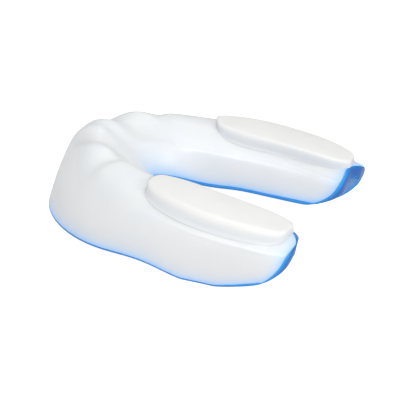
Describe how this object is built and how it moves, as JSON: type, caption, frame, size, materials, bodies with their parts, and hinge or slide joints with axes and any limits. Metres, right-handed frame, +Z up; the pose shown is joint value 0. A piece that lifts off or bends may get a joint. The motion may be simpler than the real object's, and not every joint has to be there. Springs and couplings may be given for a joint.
{
  "type": "mouthguard",
  "caption": "Boil-and-bite sports mouthguard for the upper teeth: a white U-shaped outer shell, a soft blue inner liner showing along the rims, and raised molar bite pads. Rests bite side up.",
  "frame": {"origin": "centre of the bounding box in plan, on the table plane under the rims", "axes": "+Z up out of the bite side, +Y towards the closed front of the arch (the lips), X across the mouth, right bite pad at +X"},
  "size_m": [0.0576, 0.0666, 0.0202],
  "materials": {
    "shell": "satin white EVA, slightly translucent, blue showing through near the rims",
    "liner": "soft blue thermoplastic, satin, slightly translucent",
    "bite_pad": "warm white, soft satin"
  },
  "bodies": {
    "root": {"outer_shell": "shell", "inner_liner": "liner", "left_bite_pad": "bite_pad", "right_bite_pad": "bite_pad"}
  },
  "joints": []
}
